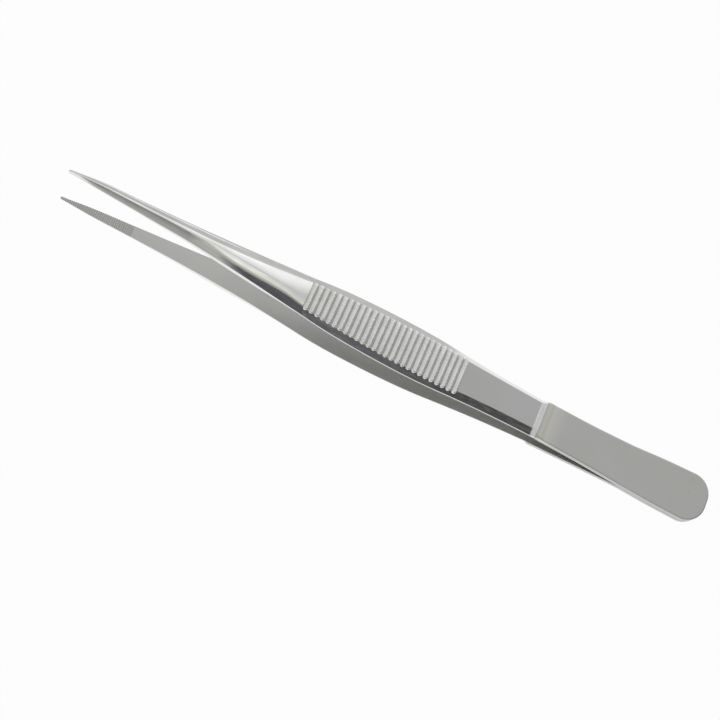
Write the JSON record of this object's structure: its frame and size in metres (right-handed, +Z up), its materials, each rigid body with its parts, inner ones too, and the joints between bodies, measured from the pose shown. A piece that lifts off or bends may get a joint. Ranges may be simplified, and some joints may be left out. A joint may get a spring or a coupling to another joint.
{
  "type": "thumb forceps",
  "caption": "Straight steel thumb forceps: two sprung arms welded at the butt, with ribbed grips and fine serrated tips.",
  "frame": {"origin": "bottom centre of the bounding box, on the surface that the forceps lie on", "axes": "+X from the tips to the welded butt, +Y across the arms, +Z up; the arms open in the XZ plane"},
  "size_m": [0.1452, 0.0106, 0.0183],
  "materials": {
    "stainless_steel": "satin, polished on the tapered front"
  },
  "bodies": {
    "root": {"upper_arm": "stainless_steel", "lower_arm": "stainless_steel"}
  },
  "joints": []
}
